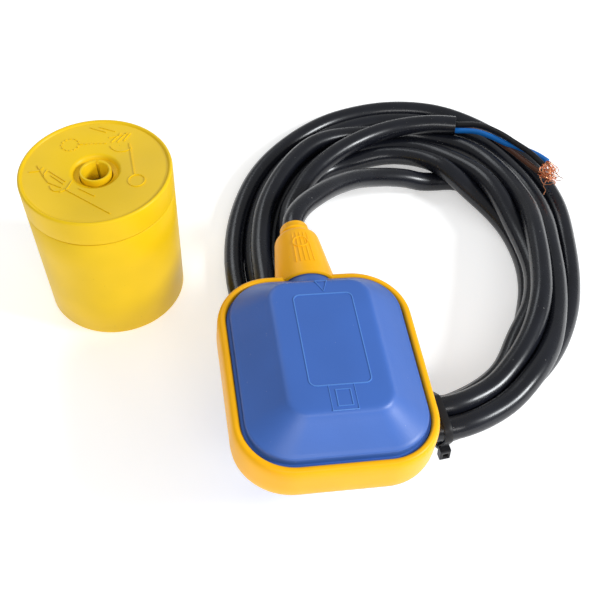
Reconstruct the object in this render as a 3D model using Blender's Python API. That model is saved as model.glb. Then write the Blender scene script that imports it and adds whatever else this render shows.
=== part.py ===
"""Float level switch for a submersible pump, with its coiled cable and its counterweight.

The float lies on the coil of its own cable. Inside its sealed casing, a steel ball rolls along a
cradle and tips the lever of a microswitch when the float turns over. The counterweight stands
beside it, with the split ring that clips it to the cable in its mouth.

Lengths in this script are in millimetres and angles in degrees. MM turns them into Blender's
metres where an object is made. +Z is up, and the floor is at z = 0.
"""

import math

import bmesh
import bpy
from mathutils import Euler, Matrix, Vector

MM = 0.001
GAP = 0.3  # left between pieces that touch

# Where the three groups stand on the floor.
FLOAT_CENTRE = (43.73, -35.55, 43.3)
FLOAT_TILT = (1.2, 5.1, 8.9)  # nose-up, right side down, turn to the left
WEIGHT_CENTRE = (-54.57, 52.05, 0.0)

# Float belt and casing, in the float's own axes: x across, y towards the neck, z out of the top.
BELT_HALF = (40.5, 47.6)
BELT_CORNER = 23.2
BELT_WALL = 3.5
BELT_HALF_HEIGHT = 8.6
CASING_HALF_HEIGHT = 22.5
PLATEAU_HALF_WIDTH = 20.9
PLATEAU_FRONT, PLATEAU_REAR = -31.5, 32.2
PLATEAU_CORNER = 8.4
CASING_WALL = 2.0
CORNER_STEPS = 8

# Neck: a cone along +y that ends in a gland ring.
NECK_ROOT_Y, NECK_ROOT_R = 47.0, 13.2
NECK_TAPER = 0.155
NECK_END_Y = 76.5
SLEEVE_WALL = 1.4
CASING_NECK_END_Y = 68.0
GLAND_END_Y = 81.5
GLAND_R = 6.4

# Cable.
CABLE_R = 4.9
CABLE_BORE_R = CABLE_R + GAP
CORE_R = 1.5

# Sealed switch box.
BOX_HALF_WIDTH = 20.0
BOX_FRONT, BOX_REAR = -36.0, 32.0
BOX_BOTTOM, BOX_TOP = -11.5, 9.5
BOX_WALL = 1.5
BALL_R = 8.0
BALL_REST_Y = -24.2
SWITCH_FRONT_Y = 6.2
SWITCH_REAR_Y = 22.0
SWITCH_HALF_WIDTH = 14.0
SWITCH_HALF_THICKNESS = 5.15
PIN_AT = (-12.5, 3.6)
PIN_R = 0.7
LEVER_FACE_Y = 2.2
TERMINAL_PITCH = 8.0
TERMINAL_LENGTH = 5.5
PLUNGER_X = -4.0
PLUNGER_R = 1.3

# Coil: a band between two ovals on the floor, one layer deep at the rear and two elsewhere.
COIL_OUTER_CENTRE, COIL_OUTER_HALF = (84.1, 66.9), (87.6, 114.7)
COIL_INNER_CENTRE, COIL_INNER_HALF = (80.6, 43.6), (56.4, 69.8)
LAYER_ONE, LAYER_TWO = 9.9, 18.4
COIL_SKEW = 12.0  # turns each section square to the band
TAIL_STEP, LEAD_STEP = 150.0, 52.0  # angles where the tail leaves the coil and the lead joins it
RAMP_END = 22.0
TIE_ANGLE = -80.0
TIE_LIFT = 1.7

# Counterweight.
WEIGHT_TOP_R, WEIGHT_BASE_R = 33.5, 31.6
WEIGHT_HEIGHT = 75.0
LID_HEIGHT = 13.0
WEIGHT_WALL = 2.2
MOUTH_R = 10.3
BORE_R = 8.0
BALLAST_R = 23.0
BALLAST_TOP = 30.0
CLIP_OUTER_R, CLIP_INNER_R = 7.0, 5.6
CLIP_TOP = 74.2
CLIP_BOTTOM = 64.5

ROUND_STEPS = 40

YELLOW = (0.95, 0.52, 0.02)
LEMON = (0.86, 0.58, 0.03)
BLUE = (0.05, 0.13, 0.48)
BLACK = (0.012, 0.012, 0.014)
GREY = (0.30, 0.31, 0.33)
NATURAL = (0.72, 0.70, 0.64)
STEEL = (0.62, 0.62, 0.64)
BRASS = (0.72, 0.53, 0.22)
COPPER = (0.75, 0.33, 0.16)
BROWN = (0.11, 0.045, 0.025)
SKY = (0.02, 0.17, 0.60)
FOAM = (0.85, 0.80, 0.62)


def clear_scene():
    for old in list(bpy.data.objects):
        bpy.data.objects.remove(old, do_unlink=True)


def material(name, colour, roughness, metallic=0.0):
    made = bpy.data.materials.new(name)
    made.use_nodes = True
    shader = made.node_tree.nodes["Principled BSDF"]
    shader.inputs["Base Color"].default_value = (*colour, 1.0)
    shader.inputs["Roughness"].default_value = roughness
    shader.inputs["Metallic"].default_value = metallic
    return made


def frame_empty(name, location, rotation=(0.0, 0.0, 0.0), parent=None):
    empty = bpy.data.objects.new(name, None)
    empty.location = Vector(location) * MM
    empty.rotation_euler = Euler([math.radians(a) for a in rotation], "XYZ")
    empty.parent = parent
    bpy.context.collection.objects.link(empty)
    return empty


def mesh_object(name, points, faces, finish=None, parent=None, at=(0.0, 0.0, 0.0)):
    """A mesh from points in millimetres, whose origin is at the point called at."""
    mesh = bpy.data.meshes.new(name)
    mesh.from_pydata([(Vector(p) - Vector(at)) * MM for p in points], [], faces)
    shape = bmesh.new()
    shape.from_mesh(mesh)
    bmesh.ops.recalc_face_normals(shape, faces=shape.faces)
    shape.to_mesh(mesh)
    shape.free()
    made = bpy.data.objects.new(name, mesh)
    made.location = Vector(at) * MM
    made.parent = parent
    bpy.context.collection.objects.link(made)
    if finish:
        mesh.materials.append(finish)
        mesh.shade_smooth()
        mesh.set_sharp_from_angle(angle=math.radians(35))
    else:
        made.hide_render = True
        made.display_type = "WIRE"
    return made


def lofted(rings, closed=False):
    """Points and faces of a skin over rings of equal length, capped at both ends unless closed."""
    size = len(rings[0])
    points = [p for ring in rings for p in ring]
    faces = []
    for i in range(len(rings) if closed else len(rings) - 1):
        here, there = i * size, (i + 1) % len(rings) * size
        for j in range(size):
            k = (j + 1) % size
            faces.append((here + j, here + k, there + k, there + j))
    if not closed:
        faces.append(tuple(range(size)))
        faces.append(tuple(range(len(points) - size, len(points))))
    return points, faces


def turned(profile, centre, axis="z", closed=True, steps=ROUND_STEPS):
    """A turned solid. profile is a list of (radius, height): a closed loop, or a run that is capped."""
    rings = []
    for radius, height in profile:
        ring = []
        for i in range(steps):
            angle = 2 * math.pi * i / steps
            across, along = radius * math.cos(angle), radius * math.sin(angle)
            offset = (across, along, height) if axis == "z" else (across, height, along)
            ring.append(tuple(c + o for c, o in zip(centre, offset)))
        rings.append(ring)
    return lofted(rings, closed)


def tube_profile(inner, outer, low, high, chamfer=0.4):
    return [
        (inner, low), (outer - chamfer, low), (outer, low + chamfer),
        (outer, high - chamfer), (outer - chamfer, high), (inner, high),
    ]


def block(low, high):
    points = [(x, y, z) for x in (low[0], high[0]) for y in (low[1], high[1]) for z in (low[2], high[2])]
    faces = [(0, 1, 3, 2), (4, 6, 7, 5), (0, 4, 5, 1), (2, 3, 7, 6), (0, 2, 6, 4), (1, 5, 7, 3)]
    return points, faces


def boolean(target, other, operation):
    cut = target.modifiers.new(operation.lower(), "BOOLEAN")
    cut.operation = operation
    cut.solver = "EXACT"
    cut.object = other


def bevelled(target, width):
    edge = target.modifiers.new("edges", "BEVEL")
    edge.width = width * MM
    edge.segments = 1
    edge.limit_method = "ANGLE"
    edge.angle_limit = math.radians(50)


def tube(name, points, radius, finish, parent=None, sides=3):
    """A round bar along points, with flat ends."""
    curve = bpy.data.curves.new(name, "CURVE")
    curve.dimensions = "3D"
    spline = curve.splines.new("POLY")
    spline.points.add(len(points) - 1)
    for point, place in zip(spline.points, points):
        point.co = (*(Vector(place) * MM), 1.0)
    curve.bevel_depth = radius * MM
    curve.bevel_resolution = sides
    curve.use_fill_caps = True
    curve.materials.append(finish)
    made = bpy.data.objects.new(name, curve)
    made.parent = parent
    bpy.context.collection.objects.link(made)
    return made


def smooth_path(route, spacing):
    """Points about spacing apart on a Catmull-Rom curve through the route's points."""
    spots = [Vector(p) for p in route]
    spots = [2 * spots[0] - spots[1], *spots, 2 * spots[-1] - spots[-2]]
    path = []
    for a, b, c, d in zip(spots, spots[1:], spots[2:], spots[3:]):
        steps = max(1, round((c - b).length / spacing))
        for i in range(steps):
            t = i / steps
            path.append(
                0.5 * (2 * b + (c - a) * t + (2 * a - 5 * b + 4 * c - d) * t**2
                       + (3 * b - a - 3 * c + d) * t**3)
            )
    return [*path, spots[-2]]


def rounded_outline(half_width, front, rear, corner):
    """Points round a rectangle with round corners, the same number for any size."""
    corners = (
        (half_width - corner, rear - corner, 0), (corner - half_width, rear - corner, 90),
        (corner - half_width, front + corner, 180), (half_width - corner, front + corner, 270),
    )
    outline = []
    for x, y, start in corners:
        for i in range(CORNER_STEPS + 1):
            angle = math.radians(start + 90 * i / CORNER_STEPS)
            outline.append((x + corner * math.cos(angle), y + corner * math.sin(angle)))
    return outline


def belt_outline(inset):
    half_width, half_length = BELT_HALF
    return rounded_outline(half_width - inset, inset - half_length, half_length - inset, BELT_CORNER - inset)


def plateau_outline(inset):
    return rounded_outline(
        PLATEAU_HALF_WIDTH - inset, PLATEAU_FRONT + inset, PLATEAU_REAR - inset, PLATEAU_CORNER - inset
    )


def at_height(outline, height):
    return [(x, y, height) for x, y in outline]


def between(first, second, share):
    return [(a + (c - a) * share, b + (d - b) * share) for (a, b), (c, d) in zip(first, second)]


def sleeve_radius(y):
    return NECK_ROOT_R - NECK_TAPER * (y - NECK_ROOT_Y)


# ---------------------------------------------------------------- float shell


def make_belt(parent, finish):
    """The yellow moulding: a ring round the casing's seam, and the sleeve over its neck."""
    wall, top = BELT_WALL, BELT_HALF_HEIGHT
    section = [
        (0.0, -5.6), (0.0, 5.6), (0.5, 7.6), (1.5, top), (wall - 0.7, top), (wall, top - 0.6),
        (wall, 0.6 - top), (wall - 0.7, -top), (1.5, -top), (0.5, -7.6),
    ]
    rings = [at_height(belt_outline(inset), height) for inset, height in section]
    belt = mesh_object("belt_and_neck", *lofted(rings, closed=True), finish, parent)
    start = BELT_HALF[1] - BELT_WALL + 0.5
    outside = [
        (0.01, start), (sleeve_radius(start) - 0.5, start), (sleeve_radius(start), start + 0.5),
        (sleeve_radius(62), 62), (sleeve_radius(72.0), 72.0), (sleeve_radius(74.5) - 0.3, 74.5),
        (sleeve_radius(76) - 1.2, 76.0), (GLAND_R + 0.9, NECK_END_Y), (0.01, NECK_END_Y),
    ]
    inside = [
        (0.01, 38.0), (sleeve_radius(38.0) - SLEEVE_WALL, 38.0), (sleeve_radius(72.0) - SLEEVE_WALL, 72.0),
        (sleeve_radius(74.0) - SLEEVE_WALL - 0.4, 74.6), (0.01, 74.6),
    ]
    sleeve = mesh_object("sleeve_outside", *turned(outside, (0, 0, 0), "y", closed=False), parent=parent)
    bore = mesh_object("sleeve_bore", *turned(inside, (0, 0, 0), "y", closed=False), parent=parent)
    hole_profile = [(GLAND_R + GAP, 70.0), (GLAND_R + GAP, 90.0)]
    hole = mesh_object("sleeve_hole", *turned(hole_profile, (0, 0, 0), "y", closed=False), parent=parent)
    boolean(belt, sleeve, "UNION")
    boolean(belt, bore, "DIFFERENCE")
    boolean(belt, hole, "DIFFERENCE")


def make_casing_half(name, side, parent, finish):
    """One blue shell. side is 1 for the upper half and -1 for the lower one."""
    rim, plateau = belt_outline(BELT_WALL + 1.9), plateau_outline(0.0)
    height = CASING_HALF_HEIGHT
    outer = [
        at_height(belt_outline(BELT_WALL + GAP), side * GAP / 2),
        at_height(belt_outline(BELT_WALL + GAP), side * 7.2),
        at_height(belt_outline(BELT_WALL + 1.2), side * 7.4),
        at_height(belt_outline(BELT_WALL + 1.2), side * 9.6),
        at_height(rim, side * 10.7),
        at_height(between(rim, plateau, 0.92), side * (height - 1.6)),
        at_height(plateau, side * (height - 0.5)),
        at_height(plateau_outline(1.2), side * height),
    ]
    inner_rim, inner_plateau = belt_outline(BELT_WALL + 4.2), plateau_outline(1.6)
    inner = [
        at_height(belt_outline(BELT_WALL + GAP + CASING_WALL), -side),
        at_height(belt_outline(BELT_WALL + GAP + CASING_WALL), side * 7.4),
        at_height(inner_rim, side * 9.6),
        at_height(inner_plateau, side * (height - CASING_WALL)),
    ]
    half = mesh_object(name, *lofted(outer), finish, parent)
    neck_profile = [
        (sleeve_radius(36.0) - SLEEVE_WALL - GAP, 36.0),
        (sleeve_radius(CASING_NECK_END_Y) - SLEEVE_WALL - GAP, CASING_NECK_END_Y),
    ]
    bore_profile = [(radius - SLEEVE_WALL, y + 2 * (y - 52) / 16) for radius, y in neck_profile]
    bore_profile[0] = (bore_profile[0][0], 30.0)
    neck = mesh_object(name + "_neck", *turned(neck_profile, (0, 0, 0), "y", closed=False), parent=parent)
    hollow = mesh_object(name + "_hollow", *lofted(inner), parent=parent)
    bore = mesh_object(name + "_bore", *turned(bore_profile, (0, 0, 0), "y", closed=False), parent=parent)
    low, high = sorted((side * GAP / 2, -side * 40))
    away = mesh_object(name + "_away", *block((-60, -60, low), (60, 90, high)), parent=parent)
    boolean(half, neck, "UNION")
    boolean(half, hollow, "DIFFERENCE")
    boolean(half, bore, "DIFFERENCE")
    boolean(half, away, "DIFFERENCE")


# ---------------------------------------------------------------- cable entry


def make_cable_entry(parent, yellow, rubber, nylon):
    centre = (0, 0, 0)
    gland = [
        (CABLE_BORE_R, 70.0), (GLAND_R, 70.0), (GLAND_R, 72.2), (7.0, 72.2), (7.0, 73.8), (GLAND_R, 73.8),
        (GLAND_R, GLAND_END_Y - 0.6), (GLAND_R - 0.6, GLAND_END_Y), (CABLE_BORE_R, GLAND_END_Y),
    ]
    mesh_object("gland_ring", *turned(gland, centre, "y"), yellow, parent)
    seal = tube_profile(CABLE_BORE_R, 6.6, 57.0, 67.0)
    mesh_object("cable_seal", *turned(seal, centre, "y", steps=28), rubber, parent)
    clamp = tube_profile(CABLE_BORE_R, 8.3, 50.5, 55.5)
    mesh_object("cable_clamp", *turned(clamp, centre, "y", steps=28), nylon, parent)
    jacket = [(CABLE_R, 50.0), (CABLE_R, GLAND_END_Y - 1.5)]
    mesh_object("cable_in_neck", *turned(jacket, centre, "y", closed=False, steps=20), rubber, parent)


# ---------------------------------------------------------------- switch box


def make_switch_box(parent, shell, cradle_finish):
    tray = mesh_object(
        "switch_box_tray",
        *block((-BOX_HALF_WIDTH, BOX_FRONT, BOX_BOTTOM), (BOX_HALF_WIDTH, BOX_REAR, BOX_TOP)), shell, parent,
    )
    inside = BOX_HALF_WIDTH - BOX_WALL
    hollow = mesh_object(
        "tray_hollow",
        *block((-inside, BOX_FRONT + BOX_WALL, BOX_BOTTOM + BOX_WALL), (inside, BOX_REAR - BOX_WALL, 20)),
        parent=parent,
    )
    outlet = mesh_object("tray_outlet", *block((-9, BOX_REAR - 5, -3), (9, BOX_REAR + 5, 3)), parent=parent)
    boolean(tray, hollow, "DIFFERENCE")
    boolean(tray, outlet, "DIFFERENCE")
    lid = block((-BOX_HALF_WIDTH, BOX_FRONT, BOX_TOP + GAP), (BOX_HALF_WIDTH, BOX_REAR, BOX_TOP + GAP + 1.7))
    mesh_object("switch_box_lid", *lid, shell, parent)
    floor_low, floor_top = BOX_BOTTOM + BOX_WALL + GAP, -BALL_R - GAP
    channel_end, side = 0.5, BALL_R + 0.5
    cradle = mesh_object(
        "ball_cradle", *block((-10.2, -34.2, floor_low), (10.2, channel_end, 2.0)), cradle_finish, parent
    )
    channel = mesh_object(
        "cradle_channel", *block((-side, -32.5, floor_top), (side, channel_end + 3, 10)), parent=parent
    )
    seat = mesh_object(
        "cradle_seat", *block((-12, -1, floor_low), (12, 20.5, -SWITCH_HALF_THICKNESS - GAP)), parent=parent
    )
    boolean(cradle, channel, "DIFFERENCE")
    notch = mesh_object("cradle_notch", *block((-13, -1.0, floor_top), (13, 6, 10)), parent=parent)
    boolean(cradle, seat, "UNION")
    boolean(cradle, notch, "DIFFERENCE")


def make_foam(parent, finish):
    """The foam that fills the casing on both sides of the switch box."""
    for name, side in (("foam_left", -1), ("foam_right", 1)):
        low, high = sorted((side * (BOX_HALF_WIDTH + 0.5), side * 32.0))
        foam = mesh_object(name, *block((low, -24.0, -8.0), (high, 26.0, 8.0)), finish, parent)
        bevelled(foam, 2.0)


def make_ball(parent, finish):
    """The ball rolls along +y in its cradle, so its origin is its centre."""
    shape = bmesh.new()
    bmesh.ops.create_uvsphere(shape, u_segments=24, v_segments=14, radius=BALL_R * MM)
    mesh = bpy.data.meshes.new("steel_ball")
    shape.to_mesh(mesh)
    shape.free()
    mesh.materials.append(finish)
    mesh.shade_smooth()
    ball = bpy.data.objects.new("steel_ball", mesh)
    ball.location = Vector((0, BALL_REST_Y, 0)) * MM
    ball.parent = parent
    bpy.context.collection.objects.link(ball)


# ---------------------------------------------------------------- microswitch


def make_microswitch(parent, body_finish, cover_finish, metal, button_finish):
    half, thick = SWITCH_HALF_WIDTH, SWITCH_HALF_THICKNESS
    split = thick - 1.2
    body = mesh_object(
        "microswitch_body",
        *block((-half, SWITCH_FRONT_Y, -thick), (half, SWITCH_REAR_Y, split - GAP)), body_finish, parent,
    )
    ear_x, ear_y = PIN_AT
    for low, high in ((-thick, -3.9), (3.4, split - GAP)):
        ear = mesh_object(
            "switch_ear", *block((ear_x - 1.6, ear_y - 1.6, low), (ear_x + 1.6, SWITCH_FRONT_Y + 1, high)),
            parent=parent,
        )
        boolean(body, ear, "UNION")
    pin_hole = [(PIN_R + GAP, -10), (PIN_R + GAP, 10)]
    hole = mesh_object(
        "pin_hole", *turned(pin_hole, (ear_x, ear_y, 0), closed=False, steps=16), parent=parent
    )
    boolean(body, hole, "DIFFERENCE")
    well = [(PLUNGER_R + GAP, SWITCH_FRONT_Y - 2), (PLUNGER_R + GAP, SWITCH_FRONT_Y + 6.5)]
    pocket = mesh_object(
        "plunger_well", *turned(well, (PLUNGER_X, 0, 0), "y", closed=False, steps=16), parent=parent
    )
    boolean(body, pocket, "DIFFERENCE")
    cover = block((-half, SWITCH_FRONT_Y, split), (half, SWITCH_REAR_Y, thick))
    mesh_object("microswitch_cover", *cover, cover_finish, parent)
    blades = (("terminal_closed", -TERMINAL_PITCH), ("terminal_common", 0.0), ("terminal_open", TERMINAL_PITCH))
    for name, x in blades:
        blade = block((x - 0.4, SWITCH_REAR_Y + GAP, -2.4), (x + 0.4, SWITCH_REAR_Y + TERMINAL_LENGTH, 2.4))
        mesh_object(name, *blade, metal, parent)
    start, end = LEVER_FACE_Y + 0.8 + GAP, SWITCH_FRONT_Y + 4.5
    rod = [(PLUNGER_R - 0.4, start), (PLUNGER_R, start + 0.4), (PLUNGER_R, end)]
    mesh_object(
        "microswitch_plunger", *turned(rod, (PLUNGER_X, 0, 0), "y", closed=False, steps=16),
        button_finish, parent, at=(PLUNGER_X, start, 0),
    )


def make_lever(parent, finish):
    """A spring-steel lever on its pin. The ball pushes it, and it presses the plunger."""
    pivot = (*PIN_AT, 0.0)
    blade = block((PIN_AT[0], LEVER_FACE_Y, -3.1), (9.0, LEVER_FACE_Y + 0.8, 3.1))
    lever = mesh_object("actuator_lever", *blade, finish, parent, at=pivot)
    eye_profile = [(1.8, -3.1), (1.8, 3.1)]
    eye = mesh_object("lever_eye", *turned(eye_profile, pivot, closed=False, steps=16), parent=parent)
    hole_profile = [(PIN_R + GAP, -6), (PIN_R + GAP, 6)]
    hole = mesh_object("lever_hole", *turned(hole_profile, pivot, closed=False, steps=16), parent=parent)
    boolean(lever, eye, "UNION")
    boolean(lever, hole, "DIFFERENCE")
    pin_profile = [(PIN_R, -SWITCH_HALF_THICKNESS + 0.2), (PIN_R, 3.5)]
    mesh_object("lever_pin", *turned(pin_profile, pivot, closed=False, steps=12), finish, parent)


def make_inner_cores(parent, finishes):
    """The three cores run from the jacket's end in the neck to the terminals."""
    spots = ((-TERMINAL_PITCH, -2.0, 1.1), (0.0, 0.0, -1.9), (TERMINAL_PITCH, 2.0, 1.1))
    names = ("inner_core_black", "inner_core_blue", "inner_core_brown")
    start = SWITCH_REAR_Y + TERMINAL_LENGTH + 2 * GAP
    for name, finish, (terminal_x, clamp_x, clamp_z) in zip(names, finishes, spots):
        route = [
            (terminal_x, start, 0), (terminal_x * 0.82, start + 3.0, 0),
            (terminal_x * 0.55, 34.5, clamp_z * 0.5), (clamp_x, 43.0, clamp_z), (clamp_x, 49.7, clamp_z),
        ]
        tube(name, smooth_path(route, 4.0), CORE_R, finish, parent, sides=1)


# ---------------------------------------------------------------- cable outside


def oval_point(centre, half, angle):
    turn = math.radians(angle)
    return Vector((centre[0] + half[0] * math.cos(turn), centre[1] + half[1] * math.sin(turn)))


def coil_edges(angle):
    """The band's inner and outer edge on the floor at this angle."""
    inner = oval_point(COIL_INNER_CENTRE, COIL_INNER_HALF, angle)
    skew = COIL_SKEW * math.cos(math.radians(angle))
    return inner, oval_point(COIL_OUTER_CENTRE, COIL_OUTER_HALF, angle - skew)


def floor_lift(angle):
    """The tie's strap passes under the band and lifts it a little."""
    return TIE_LIFT * math.exp(-(((angle - TIE_ANGLE) / 17.0) ** 2))


def coil_section(angle):
    """The band's cross-section. Its inner lane is left out where the lead hasn't joined it yet."""
    inner, outer = coil_edges(angle)
    width = (outer - inner).length
    low = floor_lift(angle)
    lane = 1.07 * 2 * CABLE_R / width if LEAD_STEP < angle < TAIL_STEP else 0.0
    rise = 1.0
    if RAMP_END < angle < TAIL_STEP:
        rise = max(0.0, 1.0 - (angle - RAMP_END) / (LEAD_STEP - RAMP_END))
    top = LAYER_ONE + (LAYER_TWO - LAYER_ONE) * rise
    shoulder = LAYER_ONE * 0.6
    lean = CABLE_R / width
    places = (
        (lane + 0.08 * lean, 0.3 * CABLE_R), (lane + lean, 0.0),
        (1 - lean, 0.0), (1 - 0.1 * lean, 0.3 * CABLE_R), (1.0, shoulder),
        (1 - lean * (0.5 + 0.5 * rise), top), (lane + lean * (0.5 + 0.5 * rise), top),
        (lane, shoulder),
    )
    section = []
    for share, height in places:
        spot = inner.lerp(outer, share)
        section.append((spot.x, spot.y, low + height))
    return section


def make_coil(finish):
    angles = [-180.0 + 6.0 * i for i in range(60)]
    for step in (TAIL_STEP, LEAD_STEP):
        angles += [step - 0.15, step + 0.15]
    sections = [coil_section(angle) for angle in sorted(angles)]
    mesh_object("cable_coil", *lofted(sections, closed=True), finish)


def on_gland_axis(distance):
    turn = Euler([math.radians(a) for a in FLOAT_TILT], "XYZ").to_matrix()
    return Vector(FLOAT_CENTRE) + turn @ Vector((0.0, distance, 0.0))


def make_lead_and_tail(rubber, black, blue, brown, copper):
    lead = [
        on_gland_axis(GLAND_END_Y - 1.2), on_gland_axis(GLAND_END_Y + 6.0),
        (39.4, 64.8, 42.5), (48.4, 79.6, 36.0), (60.3, 95.1, 28.0), (72.2, 106.5, 20.0), (84.1, 112.8, 13.0),
        (94.1, 115.4, 8.6), (103.1, 113.1, 5.8), (110.8, 108.4, 5.2), (117.3, 103.4, 5.2),
    ]
    tube("cable_lead", smooth_path(lead, 22.0), CABLE_R, rubber, sides=2)
    tail = [
        (29.3, 83.4, 15.2), (34.5, 96.2, 15.2), (41.7, 110.6, 15.2), (50.8, 122.1, 15.2), (62.2, 133.8, 15.2),
        (74.3, 143.5, 15.2), (88.2, 150.1, 15.2), (104.6, 152.6, 15.3), (118.0, 151.2, 15.6),
    ]
    tube("cable_tail", smooth_path(tail, 22.0), CABLE_R, rubber, sides=2)
    ball = Vector((161.5, 104.7, 22.0))
    black_route = [
        (118.8, 151.2, 17.4), (128.2, 148.3, 19.6), (136.3, 141.7, 21.6), (149.1, 125.9, 23.6),
        (157.8, 111.6, 23.4),
    ]
    blue_route = [
        (119.0, 149.6, 14.3), (130.1, 141.1, 17.6), (140.1, 135.3, 18.6), (151.8, 127.6, 20.2),
        (160.8, 113.4, 22.2),
    ]
    brown_route = [
        (118.5, 147.0, 17.2), (131.1, 138.5, 21.1), (139.6, 130.2, 21.8), (147.1, 118.8, 20.6),
        (155.9, 106.6, 19.8),
    ]
    cores = (
        ("core_black", black, black_route), ("core_blue", blue, blue_route), ("core_brown", brown, brown_route),
    )
    for name, finish, route in cores:
        tube(name, smooth_path(route, 7.0), CORE_R, finish, sides=1)
    shape = [(1.6, -4.6), (3.4, -3.0), (4.0, 0.0), (3.3, 2.8), (1.4, 4.2)]
    mesh_object("copper_strands", *turned(shape, tuple(ball), closed=False, steps=12), copper)


def make_tie(finish):
    """One cable tie round the bundle: its strap follows the band's section, and its head is outside."""
    outline = [Vector(point) for point in coil_section(TIE_ANGLE)]
    middle = sum(outline, Vector()) / len(outline)
    inner, outer = coil_edges(TIE_ANGLE)
    across = (outer - inner).normalized().to_3d()
    along = Vector((across.y, -across.x, 0.0))

    def loop(clearance, shift):
        ring = []
        for point in outline:
            away = point - middle
            grown = middle + away * (1 + clearance / away.length) + along * shift
            grown.z = max(grown.z, 0.05 if clearance > 1 else 0.05 + 1.0)
            ring.append(tuple(grown))
        return ring

    half = 1.8
    rings = [loop(GAP + 0.2, -half), loop(1.5, -half), loop(1.5, half), loop(GAP + 0.2, half)]
    mesh_object("tie_strap", *lofted(rings, closed=True), finish)
    corners = outer.to_3d() + across * 4.6 + Vector((0, 0, 9.5))
    head_points, head_faces = block((-2.7, -2.4, -3.2), (2.7, 2.4, 3.2))
    turn = Matrix.Rotation(math.atan2(across.y, across.x), 3, "Z")
    head = mesh_object("tie_head", [corners + turn @ Vector(p) for p in head_points], head_faces, finish)
    slot_points, slot_faces = block((-1.5, -1.3, -6.0), (1.5, 1.3, 6.0))
    slot = mesh_object("tie_slot", [corners + turn @ Vector(p) for p in slot_points], slot_faces)
    boolean(head, slot, "DIFFERENCE")


# ---------------------------------------------------------------- counterweight


def weight_radius(height):
    return WEIGHT_BASE_R + (WEIGHT_TOP_R - WEIGHT_BASE_R) * height / WEIGHT_HEIGHT


def make_counterweight(lemon, iron, tube_finish):
    centre = WEIGHT_CENTRE
    seam = WEIGHT_HEIGHT - LID_HEIGHT
    body = [
        (BORE_R + 1.9, 2.6), (BORE_R + 1.9, 0.0), (weight_radius(0) - 1.0, 0.0), (weight_radius(1), 1.0),
        (weight_radius(seam), seam - GAP), (weight_radius(seam) - WEIGHT_WALL, seam - GAP),
        (weight_radius(4) - WEIGHT_WALL, 2.6),
    ]
    mesh_object("weight_body", *turned(body, centre, steps=56), lemon)
    top, rim = WEIGHT_HEIGHT, weight_radius(WEIGHT_HEIGHT)
    lid = [
        (CLIP_OUTER_R + GAP, 62.5), (BORE_R + 2.6, 62.5), (BORE_R + 2.6, top - 4.0),
        (weight_radius(seam) - 5.5, top - 4.0), (weight_radius(seam) - 5.5, seam - 5),
        (weight_radius(seam) - WEIGHT_WALL - 2 * GAP, seam - 5),
        (weight_radius(seam) - WEIGHT_WALL - GAP, seam), (weight_radius(seam), seam),
        (rim, top - 0.8), (rim - 0.6, top), (rim - 1.5, top), (rim - 2.1, top - 1.0),
        (MOUTH_R + 0.8, top - 1.0), (MOUTH_R - 0.6, top - 1.8), (CLIP_OUTER_R + GAP, top - 3.6),
    ]
    mesh_object("weight_lid", *turned(lid, centre, steps=56), lemon)
    bore = tube_profile(BORE_R, BORE_R + 1.6, 0.5, 62.0)
    mesh_object("weight_bore_tube", *turned(bore, centre, steps=32), tube_finish)
    ballast = tube_profile(BORE_R + 2.4, BALLAST_R, 3.0, BALLAST_TOP, 1.5)
    mesh_object("weight_ballast", *turned(ballast, centre, steps=40), iron)


def make_clip_ring(finish):
    """A split ring, tapered to wedge between the cable and the lid. It lifts out along +z."""
    centre = WEIGHT_CENTRE
    ring = [
        (CLIP_INNER_R, CLIP_BOTTOM), (CLIP_OUTER_R - 0.6, CLIP_BOTTOM), (CLIP_OUTER_R, CLIP_TOP - 2.0),
        (CLIP_OUTER_R, CLIP_TOP - 0.4), (CLIP_OUTER_R - 0.4, CLIP_TOP), (CLIP_INNER_R + 0.2, CLIP_TOP),
    ]
    clip = mesh_object("clip_ring", *turned(ring, centre, steps=32), finish, at=(*centre[:2], CLIP_BOTTOM))
    x, y, _ = centre
    split = mesh_object("clip_split", *block((x - 0.7, y, CLIP_BOTTOM - 5), (x + 0.7, y + 12, CLIP_TOP + 5)))
    boolean(clip, split, "DIFFERENCE")


def main():
    clear_scene()
    yellow = material("float_yellow", YELLOW, 0.38)
    blue = material("float_blue", BLUE, 0.42)
    lemon = material("weight_yellow", LEMON, 0.40)
    rubber = material("cable_rubber", BLACK, 0.38)
    seal = material("seal_rubber", BLACK, 0.7)
    nylon = material("clamp_nylon", GREY, 0.5)
    natural = material("box_plastic", NATURAL, 0.5)
    switch_black = material("switch_black", BLACK, 0.45)
    steel = material("steel", STEEL, 0.25, 1.0)
    brass = material("brass", BRASS, 0.3, 1.0)
    copper = material("copper", COPPER, 0.35, 1.0)
    core_black = material("core_black", BLACK, 0.4)
    core_blue = material("core_blue", SKY, 0.35)
    core_brown = material("core_brown", BROWN, 0.4)
    foam = material("foam", FOAM, 0.9)
    iron = material("ballast_iron", GREY, 0.6, 0.6)

    pose = frame_empty("float_axes", FLOAT_CENTRE, FLOAT_TILT)
    make_belt(pose, yellow)
    make_casing_half("casing_upper", 1, pose, blue)
    make_casing_half("casing_lower", -1, pose, blue)
    make_cable_entry(pose, yellow, seal, nylon)
    make_switch_box(pose, natural, natural)
    make_foam(pose, foam)
    make_ball(pose, steel)
    make_microswitch(pose, switch_black, natural, brass, natural)
    make_lever(pose, steel)
    make_inner_cores(pose, (core_black, core_blue, core_brown))
    make_coil(rubber)
    make_lead_and_tail(rubber, core_black, core_blue, core_brown, copper)
    make_tie(switch_black)
    make_counterweight(lemon, iron, natural)
    make_clip_ring(lemon)


main()
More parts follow.
